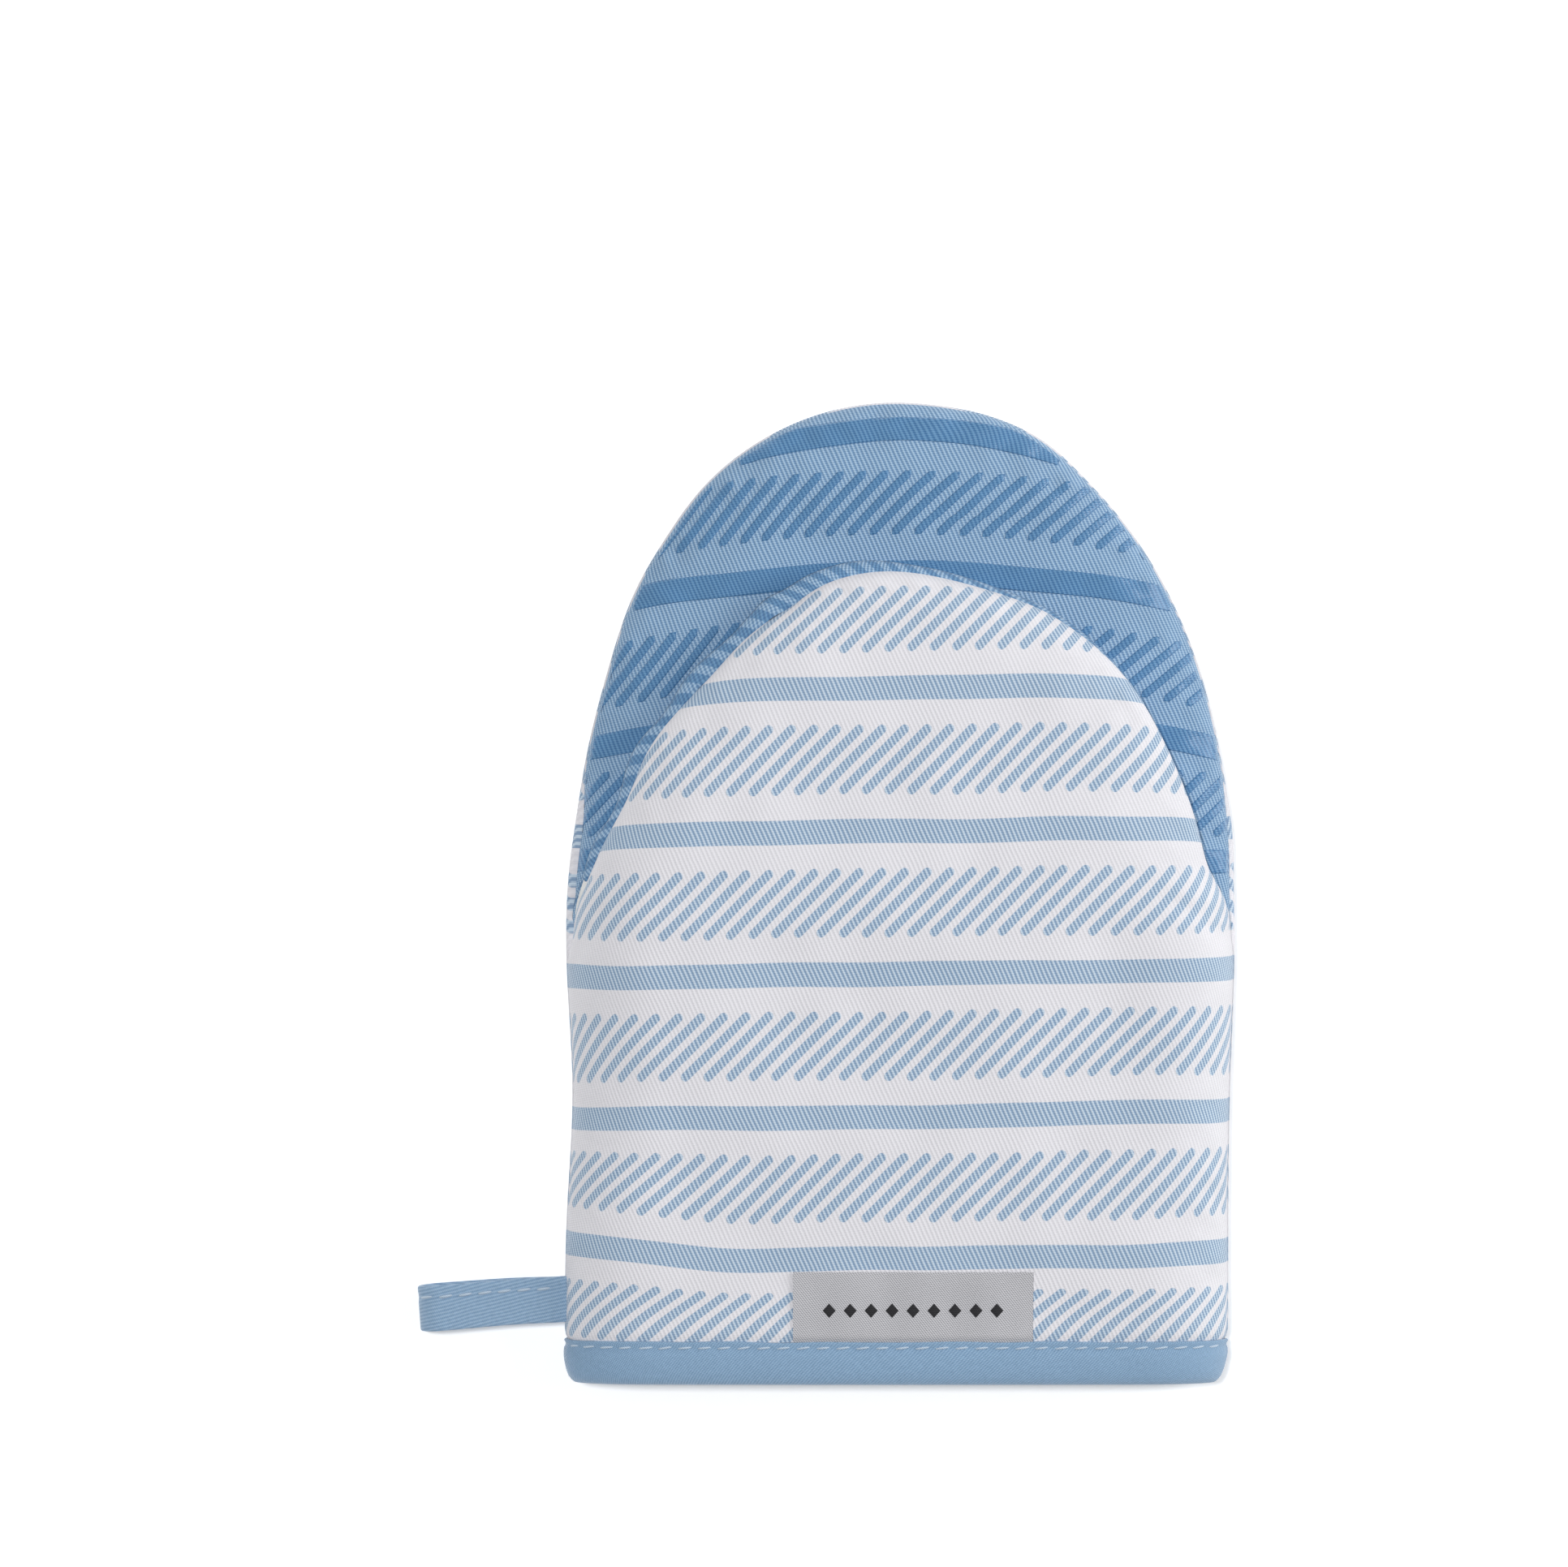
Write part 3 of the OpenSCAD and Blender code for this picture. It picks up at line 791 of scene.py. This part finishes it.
def wadding_fibre():
    """Needled polyester wadding: tangled fibres and soft clumps."""
    paint = Paint("wadding_fibre")
    one_way = paint.noise(0.5, 4.0, (1.0, 0.15), 25)
    other_way = paint.noise(0.5, 4.0, (0.15, 1.0), 60)
    strands = one_way * 0.5 + other_way * 0.5
    clumps = paint.noise(6.0, 3.0)
    colour = paint.mix(strands, (0.72, 0.72, 0.70), (0.92, 0.92, 0.91))
    worn = paint.shade(colour, clumps * 0.16 + 0.88)
    return paint.finish(worn, strands * 0.25 + clumps * 0.4, 0.95, sheen=0.4)


outer_paint, grip_paint = printed_twill(), grip_twill()
rolled_paint, silicone_paint = grip_twill(rolled=True), silicone()
lining_paint, fibre_paint = plain_cotton(), wadding_fibre()

# ---- padded panels


def padded_panel(prefix, skin, cloth_paint, first_y, outline, rings=0, closing=0.0):
    """The three layers of one padded panel: its outer cloth, its wadding and its lining.

    rings is how many the cloth has past its edge, and closing how far it runs on past the fold.
    """
    layers = {}
    for face, (kind, paint, step) in enumerate((("cloth", cloth_paint, FINE),
                                                ("wadding", fibre_paint, COARSE),
                                                ("lining", lining_paint, LINING_STEP))):
        grid = Grid(first_y, outline, step)
        if kind == "cloth":
            grid = Grid(first_y - closing, outline, step, rings)
        outside, cloth = skin(grid, face)
        inside, _ = skin(grid, face + 1)
        layers[kind] = layer(f"{prefix}_{kind}_layer", outside, inside, cloth, paint)
    return layers


# ---- silicone print

# Farther from the mitt than any of its cloth
FAR_OUT = 60.0
# Half width of a raised dash, and how far it reaches each way across its band
RAISED_HALF_W = 0.86
RAISED_REACH = 6.55
# How far the silicone's surface is let into the cloth, and how far its root goes
LET_IN = 0.04
ROOT_DEPTH = 0.22


class Ground:
    """The outside of a grip panel as it was made, to lay the silicone on."""

    def __init__(self, piece, outline, warp, above):
        self.outline, self.warp, self.above = outline, warp, above
        self.tree = BVHTree.FromPolygons([v.co / MM for v in piece.data.vertices],
                                         [p.vertices[:] for p in piece.data.polygons])

    def trimmed(self, x, y, limit=0.992):
        """Places outside the seam, moved in to it."""
        back = np.minimum(1, limit / share_at(x, y, self.outline))
        start = self.outline[1]
        return x * back, np.minimum(y, start) + np.maximum(y - start, 0) * back

    def lay(self, x, y):
        """Points on the cloth's outside, at places on the plan."""
        x, y = self.warp(x, y)
        points = xyz(x, y, 0 * x).reshape(-1, 3)
        for point in points:
            origin = Vector((point[0], point[1], FAR_OUT * self.above))
            hit = self.tree.ray_cast(origin, Vector((0, 0, -self.above)))[0]
            if hit is None:
                hit = self.tree.find_nearest(Vector((point[0], point[1], SEAM_Z)))[0]
            point[:] = hit
        return points.reshape(*np.shape(x), 3)


def bead_strip(line, half_w, height, ground, edge, cross=9, round_r=0.9):
    """A raised strip along a line on the plan, with rounded ends and edges.

    It is cut off at the seam, and is None if it is all outside the panel.
    """
    run = run_along(line)
    near = np.clip(np.minimum(run, run[-1] - run) / round_r, 0, 1)
    narrow = np.maximum(half_w - round_r * (1 - np.sqrt(1 - (1 - near) ** 2)), 0.12)
    tangent = unit(np.gradient(line, axis=0))
    inside = share_at(*line.T, ground.outline) < 1.01
    if inside.sum() < 3:
        return None
    line, near, narrow, tangent = line[inside], near[inside], narrow[inside], tangent[inside]
    k = spread_steps(cross)
    from_edge = (1 - np.abs(k)) * half_w
    profile = np.sqrt(1 - (1 - np.clip(from_edge / edge, 0, 1)) ** 2)
    x = line[:, :1] - tangent[:, 1:] * narrow[:, None] * k
    y = line[:, 1:] + tangent[:, :1] * narrow[:, None] * k
    x, y = ground.trimmed(x, y)
    flat = xyz(x, y, 0 * x)
    top = ground.lay(x, y)
    low = top[:, [-1, 0]]
    swell = np.minimum(1, 0.35 + 0.65 * near)[:, None]
    top[..., 2] += ground.above * (height * profile * swell - LET_IN)
    low[..., 2] -= ground.above * ROOT_DEPTH
    ring = np.concatenate([top, low], axis=1)
    flat = np.concatenate([flat, flat[:, [-1, 0]]], axis=1)
    return ring, tube_faces(len(line), ring.shape[1]), flat


def printed_grip(name, stripes, bands, sag, ground, height, material):
    """Stripes and bands of leaning dashes, raised on a grip panel."""
    parts = []
    for middle in stripes:
        x = np.arange(-HALF_W - 3, HALF_W + 3.1, 1.0)
        wander = 0.3 * edge_waves(x, middle + 0 * x)
        line = np.stack([x, middle - sag(x, middle) + wander], -1)
        parts.append(bead_strip(line, STRIPE_HALF, height, ground, 0.35, 15))
    steps = np.linspace(-RAISED_REACH, RAISED_REACH, 22)
    for middle in bands:
        for x0 in np.arange(-78, 79, DASH_PITCH):
            x = x0 + steps
            line = np.stack([x, middle + steps - sag(x, middle)], -1)
            parts.append(bead_strip(line, RAISED_HALF_W, height, ground, 0.4))
    return joined(name, [p for p in parts if p is not None], material)


# ---- trims


def wrist_z(s, y, depth, front):
    """Height at the wrist, below the outside of the front or the back. s is -1 to 1 across."""
    if front:
        return front_profile(np.abs(s), front_rim_z(y), front_top_z(y) - depth)
    return SEAM_Z - (SEAM_Z - depth) * dome(np.abs(s))


def wrist_ring(depth, y, count):
    """Points round the wrist opening, below the outside: first the front, then the back."""
    front = spread_steps(count)
    back = front[-2:0:-1]
    front_half_w = HALF_W - SEAM_INSET * dome(np.abs(front))
    x = np.concatenate([(front_half_w - depth) * front, (HALF_W - depth) * back])
    z = np.concatenate([wrist_z(front, y, depth, True), wrist_z(back, y, depth, False)])
    return x, z


def binding_section():
    """The binding seen end on, as (depth, y) pairs, all the way round."""
    stack, thick, turn_y = PANEL_FACES[-1], 0.7, 1.6
    outside = [(0.45, BINDING_W + 0.15), (0.02, BINDING_W), (-0.12, 8.5), (0.20, 7.9), (0.12, 7.3),
               (-0.12, 6.4), (-0.22, 5.0), (-0.2, 3.5), (-0.08, 2.2), (0.25, 1.2)]
    nose = [(0.75, 0.45), (1.4, 0.05), (2.0, 0.0), (2.6, 0.05), (3.25, 0.45)]
    inside = [(stack - depth, y) for depth, y in outside[::-1]]
    back = [(stack - thick, BINDING_W), (stack - thick, turn_y), (stack / 2, 1.1),
            (thick, turn_y), (thick, BINDING_W)]
    return outside + nose + inside + back


def wrist_corner(x):
    """How far the wrist edge is rounded back at its two corners."""
    radius = 2.8
    past = np.clip(np.abs(x) - (HALF_W - radius), 0, radius)
    return radius - np.sqrt(radius**2 - past**2)


def binding(material):
    """The tape. Its edges are wavy, and its outside, the section's first points, is puffed."""
    section = binding_section()
    count, puffed = 111, 12
    rings, flats = [], []
    outline = 0.0
    for k, (depth, y) in enumerate(section):
        x, z = wrist_ring(depth, y, count)
        way = np.arange(len(x)) * 2 * (HALF_W + 8) / count
        if k:
            outline += math.dist(section[k], section[k - 1])
        edge_y = y + wrist_corner(x) * (1 - y / BINDING_W) + 0.12 * edge_waves(x * 2, z) * (y > 5)
        puff = 0.06 * small_waves(x * 1.3 + y, y * 2) * (y > 2) * (k < puffed)
        rings.append(xyz(x, edge_y, np.maximum(z + puff * np.sign(z - SEAM_Z), 0.05)))
        flats.append(xyz(way, outline + 0 * way, 0 * way))
    points = np.stack(rings, 1)
    points[..., 0], points[..., 1] = warp_body(points[..., 0], points[..., 1])
    faces = tube_faces(points.shape[0], points.shape[1], closed=True)
    return mesh_object("binding_tape", points, faces, np.stack(flats, 1), material)


def stitch(start, end, lift, radius=0.24, sides=8, steps=9):
    """One stitch: thread that rises from the cloth at start and dives in again at end."""
    t = np.linspace(0, 1, steps)
    line = start + (end - start) * t[:, None] + np.outer(np.sin(math.pi * t) ** 0.7, lift)
    along = unit(np.gradient(line, axis=0))
    side = unit(np.cross(along, unit(lift)))
    over = np.cross(side, along)
    thick = radius * (0.55 + 0.45 * np.sin(math.pi * t) ** 0.5)
    rings = [
        line + thick[:, None] * (side * math.cos(a) + over * math.sin(a))
        for a in np.linspace(0, 2 * math.pi, sides, endpoint=False)
    ]
    run = np.repeat(t * np.linalg.norm(end - start), sides)
    turn = np.tile(np.arange(sides) * 2 * math.pi * radius / sides, steps)
    return np.stack(rings, 1), tube_faces(steps, sides), xyz(run, turn, 0 * run)


STITCH_L = 2.6
STITCH_PITCH = 4.1


def binding_stitches(material):
    parts = []
    rng = np.random.default_rng(31)
    stitch_y = BINDING_W - 1.15
    s = np.linspace(-1, 1, 4001)
    # Per side: how far in it lies, how far the thread is sunk, which way is out, and its rise
    for front, inset, sunk, out_sign, rise in ((True, SEAM_INSET, 0.24, 1, 0.3),
                                               (False, 0.0, -0.47, -1, 0.2)):
        x = (HALF_W - inset) * s
        z = wrist_z(s, stitch_y, 0.0, front) - sunk
        line = np.stack([x, z], -1)
        run = run_along(line)
        count = int((run[-1] - 6) / STITCH_PITCH)
        first = (run[-1] - count * STITCH_PITCH) / 2
        for k in range(count):
            ends = first + k * STITCH_PITCH + np.array([0, STITCH_L + rng.uniform(-0.2, 0.2)])
            ex, ez = part_way(ends, run, line).T
            slant = 0.16 + rng.uniform(-0.05, 0.05)
            ey = stitch_y + np.array([-slant, slant])
            a, b = xyz(warp_body(ex, ey)[0], ey, ez)
            out = unit(np.array([-(b - a)[2], 0, (b - a)[0]])) * out_sign
            parts.append(stitch(a, b, out * rise))
    return joined("binding_stitches", parts, material)


def lozenge(half_l, half_h, per_side=4):
    """Points round a lozenge about the origin."""
    corners = np.array([[half_l, 0], [0, half_h], [-half_l, 0], [0, -half_h]])
    sides = zip(corners, np.roll(corners, -1, axis=0))
    return np.array([a + (b - a) * k / per_side for a, b in sides for k in range(per_side)])


def label(material, ink):
    """Woven label caught under the binding, with a row of small lozenges."""
    low, high = box_mm("woven_label")
    thick, tucked_in = 0.3, 0.3

    def underside(px, py):
        free = ease((py - BINDING_W - 0.6) / (high[1] - BINDING_W))
        curl = 0.06 + free * (0.4 + 0.16 * np.sin(px / 7.0) + 0.08 * small_waves(px, py))
        return front_height(px, py) - depth_at(PANEL_FACES, 0, py) + curl

    gx, gy = np.meshgrid(np.linspace(low[0], high[0], 61),
                         np.linspace(BINDING_W - tucked_in, high[1] + 0.1, 31))
    z = underside(gx, gy)
    upper, lower = xyz(gx, gy, z + thick), xyz(gx, gy, z)
    piece = layer("label_tab", upper, lower, xyz(gx, gy, 0 * gx), material)
    marks = []
    count, margin, middle_y = 9, 7.5, 15.7
    ring = lozenge(1.35, 1.5)
    for cx in np.linspace(low[0] + margin, high[0] - margin, count):
        levels = []
        for scale, lift in ((1.0, 0.24), (1.0, 0.36), (0.86, 0.42)):
            px, py = cx + ring[:, 0] * scale, middle_y + ring[:, 1] * scale
            levels.append(xyz(px, py, underside(px, py) + lift))
        points = np.concatenate(levels)
        marks.append((points, tube_faces(len(levels), len(ring)), points * (1, 1, 0)))
    return piece, joined("label_motif", marks, ink, 30)


# The loop is a folded tape round an eye. Its tail goes into the seam, and its stitching is
# STITCH_IN from its edge.
LOOP_W = 9.5
TAPE_T = 1.3
EYE_R = 3.5
TAIL_L = 3.4
STITCH_IN = 2.3
LOOP_TURN = 4.0
LOOP_ALONG = direction(LOOP_TURN)


def arc(start, end, steps):
    """Points on a unit circle between two angles, without the two ends."""
    return np.array([direction(a) for a in np.linspace(start, end, steps)[1:-1]])


def loop_path(steps=26):
    """Middle line of the tape, from the seam along the upper leaf, round the eye and back."""
    far_outer = EYE_R + TAPE_T
    past_solid = 0.9
    reach_x = LOOP_ROOT[0] - box_mm("hang_loop")[0][0] - LOOP_W / 2 * LOOP_ALONG[1]
    run = past_solid + reach_x / LOOP_ALONG[0] - far_outer
    far = np.array([-run, far_outer - LOOP_ROOT[2]])
    near_r, far_r = TAPE_T / 2, EYE_R + TAPE_T / 2
    # The leaves are the two outer tangents of a small circle at the root and the eye's circle
    towards_far = math.degrees(math.atan2(far[1], far[0]))
    taper = math.degrees(math.asin((far_r - near_r) / np.linalg.norm(far)))
    a_up, a_low = towards_far - 90 - taper, towards_far + 90 + taper
    n_up, n_low = direction(a_up), direction(a_low)
    t = np.linspace(0, 1, steps)[:, None]
    upper = near_r * n_up * (1 - t) + (far + far_r * n_up) * t
    end = far + far_r * arc(a_up, a_low, steps)
    lower = (far + far_r * n_low) * (1 - t) + near_r * n_low * t
    into = np.linspace(0.8, TAIL_L, 5)[:, None] * np.array([1.0, 0.0])
    above, below = np.array([0, near_r]), np.array([0, -near_r])
    nose = into[-1] + near_r * arc(-90, 90, 7)
    return np.concatenate([into[::-1] + above, upper, end, lower, into + below, nose])


def loop_place(local_x, local_y, local_z):
    """From the loop's own axes to the frame, with the tape's slight bow."""
    share = -local_x / 28
    y = local_y + 0.15 * np.sin(math.pi * np.clip(share, 0, 1.2) * 1.6)
    c, s = LOOP_ALONG
    return xyz(c * local_x - s * y, s * local_x + c * y, local_z) + LOOP_ROOT


def loop_outward(path):
    along = unit(np.roll(path, -1, axis=0) - np.roll(path, 1, axis=0))
    return np.stack([along[:, 1], -along[:, 0]], -1)


def tape_section(radius=0.5):
    """The tape seen end on: rounded corners, and a shallow valley where it is stitched."""
    half_w, half_t = LOOP_W / 2, TAPE_T / 2
    section = []
    for k, (sy, sz) in enumerate(((1, 1), (-1, 1), (-1, -1), (1, -1))):
        for a in np.linspace(0, 90, 4):
            dy, dz = radius * direction(a + k * 90)
            section.append((sy * (half_w - radius) + dy, sz * (half_t - radius) + dz))
        if sy == sz:
            for y in np.linspace(sy, -sy, 14)[1:-1] * (half_w - radius):
                valley = 0.14 * bump_at(y, half_w - STITCH_IN, 0.7) if sz > 0 else 0
                section.append((y, sz * half_t - valley))
    return np.array(section)


def loop_tape(material):
    path, section = loop_path(), tape_section()
    local = path[:, None, :] + loop_outward(path)[:, None, :] * section[None, :, 1:]
    side = section[None, :, 0] + 0 * local[..., 0]
    points = loop_place(local[..., 0], side, local[..., 1])
    points[..., 2] = np.maximum(points[..., 2], 0.03)
    cloth = xyz(run_along(path)[:, None] + 0 * side, side, 0 * side)
    faces = tube_faces(len(path), len(section), closed=True)
    return mesh_object("loop_tape", points, faces, cloth, material)


def loop_stitches(material):
    """Stitches along the upper leaf, up to where it turns over the eye."""
    path = loop_path()
    out, run = loop_outward(path), run_along(path)
    low_x = path[:, 0].min() + 0.3
    slant = np.array([0.12, -0.12])
    parts = []
    for first in np.arange(TAIL_L + 0.9, 40, STITCH_PITCH):
        ends = first + np.array([0, STITCH_L])
        middle, away = part_way(ends, run, path), part_way(ends, run, out)
        if middle[1, 0] < low_x or away[1, 1] < 0.05:
            break
        place = middle + away * (TAPE_T / 2 - 0.1)
        a, b = loop_place(place[:, 0], LOOP_W / 2 - STITCH_IN + slant, place[:, 1])
        lift = away.mean(axis=0) * 0.4
        parts.append(stitch(a, b, np.array([lift[0], 0, lift[1]]), 0.28))
    return joined("loop_stitches", parts, material)


# ---- the pieces

binding_paint = tape_twill("binding_twill", (0.17, 0.295, 0.465), (0.34, 0.50, 0.675), 38.0, 0.5)
loop_paint = tape_twill("loop_twill", (0.18, 0.30, 0.47), (0.38, 0.53, 0.69), 80.0, 0.72)
thread_paint = thread()

back = padded_panel("back", back_skin, outer_paint, WRIST_START, BACK_OUTLINE, rings=3)
finger = padded_panel("finger_grip", finger_skin, grip_paint, FOLD_END, FINGER_OUTLINE)
front = padded_panel("front", front_skin, outer_paint, WRIST_START, THUMB_OUTLINE)
thumb = padded_panel("thumb_grip", thumb_grip_skin, rolled_paint, FOLD_END, THUMB_OUTLINE,
                     rings=6, closing=9.0)


def finger_sag(x, middle):
    """The print follows the cloth down towards the sides, most of all at the tip."""
    bend = 0.0017 * ease((middle - 98) / 50) + 0.0032 * ease((middle - 184) / 14)
    return bend * x * x


finger_silicone = printed_grip(
    "finger_silicone", (198.3, 168.5, 139.0, 109.5), (183.0, 153.7, 124.2), finger_sag,
    Ground(finger["cloth"], FINGER_OUTLINE, warp_body, above=1), 0.34, silicone_paint)
thumb_silicone = printed_grip(
    "thumb_silicone", (109.5, 139.0), (124.2, 153.7), lambda x, middle: 0 * x,
    Ground(thumb["cloth"], THUMB_OUTLINE, warp_front, above=-1), 0.26, silicone_paint)

tape = binding(binding_paint)
tape_stitches = binding_stitches(thread_paint)
label_piece, label_marks = label(label_satin(), label_ink())
loop = loop_tape(loop_paint)
loop_thread = loop_stitches(thread_paint)

# ---- what rides on what


def declare(piece, slot, *nodes):
    """Hides the CAD nodes that a piece stands for. piece and slot are not used."""
    if nodes:
        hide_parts(*nodes)


def declare_panel(layers, cloth_slot, cloth_node, *parts):
    """The same for a panel's layers, which stand for the layers of one or two CAD parts."""
    for kind, node, slot in (("cloth", cloth_node, cloth_slot),
                             ("wadding", "wadding", "wadding_fibre"),
                             ("lining", "lining", "lining_cotton")):
        declare(layers[kind], slot, *(f"{part}_{node}" for part in parts))


declare_panel(back, "outer_twill", "shell", "back")
declare_panel(finger, "grip_twill", "panel", "finger_grip")
declare_panel(front, "outer_twill", "shell", "cuff_front", "thumb")
declare_panel(thumb, "grip_twill", "panel", "thumb_grip")
declare(finger_silicone, "silicone_print", "finger_grip_print")
declare(thumb_silicone, "silicone_print", "thumb_grip_print")
declare(tape, "binding_twill", "cuff_binding")
declare(tape_stitches, "stitch_thread", "cuff_stitching")
declare(label_piece, "label_satin", "woven_label")
declare(label_marks, "label_satin")
declare(loop, "binding_twill", "hang_loop")
declare(loop_thread, "stitch_thread", "loop_stitching")

for piece in (*back.values(), *finger.values(), finger_silicone, tape, tape_stitches,
              label_piece, label_marks):
    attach(piece, "hand")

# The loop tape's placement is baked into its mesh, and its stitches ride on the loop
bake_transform(loop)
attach(loop_thread, "loop")

# The front and thumb pieces have their placement baked into their meshes
for piece in (*front.values(), *thumb.values(), thumb_silicone):
    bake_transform(piece)


# ---- floor, lights and camera


FLOOR_Z = -0.00005
FLOOR_GLOW = 0.26
WORLD_LIGHT = 0.27
SUN_POWER = 1.62
SUN_TILT = (-7.5, -9.5, 0)
KEY_POWER = 7.6
KEY_PLACE = (1.05, 0.42, 0.62)
KEY_AIM = (0.0, 0.1, 0.0)
CAMERA_PLACE = (-0.0232, 0.1248, 1.4)
CAMERA_LENS = 152.9


def add_floor():
    bpy.ops.mesh.primitive_plane_add(size=6, location=(0, 0, FLOOR_Z))
    floor = bpy.context.object
    floor.name = "floor"
    paper = bpy.data.materials.new("paper_floor")
    paper.use_nodes = True
    looks = {"Base Color": (0.97, 0.97, 0.97), "Roughness": 0.9, "Specular IOR Level": 0.1,
             "Emission Color": (1, 1, 1), "Emission Strength": FLOOR_GLOW}
    for name, value in looks.items():
        feed(paper.node_tree, paper.node_tree.nodes["Principled BSDF"].inputs[name], value)
    floor.data.materials.append(paper)


def add_lights():
    world = bpy.data.worlds.new("studio")
    bpy.context.scene.world = world
    world.use_nodes = True
    colour, strength = world.node_tree.nodes["Background"].inputs[:2]
    colour.default_value = (1, 1, 1, 1)
    strength.default_value = WORLD_LIGHT

    top = linked("top_light", bpy.data.lights.new("top_light", "SUN"))
    top.data.energy = SUN_POWER
    top.data.angle = math.radians(6)
    top.visible_glossy = False
    top.rotation_euler = [math.radians(a) for a in SUN_TILT]

    key = linked("key_light", bpy.data.lights.new("key_light", "AREA"))
    key.data.shape = "RECTANGLE"
    key.data.size, key.data.size_y = 0.7, 0.9
    key.data.energy = KEY_POWER
    key.location = KEY_PLACE
    key.rotation_mode = "QUATERNION"
    key.rotation_quaternion = (Vector(KEY_AIM) - key.location).to_track_quat("-Z", "Y")


def add_camera():
    """Straight above, with a long lens, as the photograph was taken."""
    camera = linked("camera", bpy.data.cameras.new("camera"))
    camera.data.sensor_width = 36
    camera.data.lens = CAMERA_LENS
    camera.location = CAMERA_PLACE
    camera.data.clip_start, camera.data.clip_end = 0.05, 10
    bpy.context.scene.camera = camera
    bpy.context.scene.view_settings.view_transform = "Standard"


add_floor()
add_lights()
add_camera()
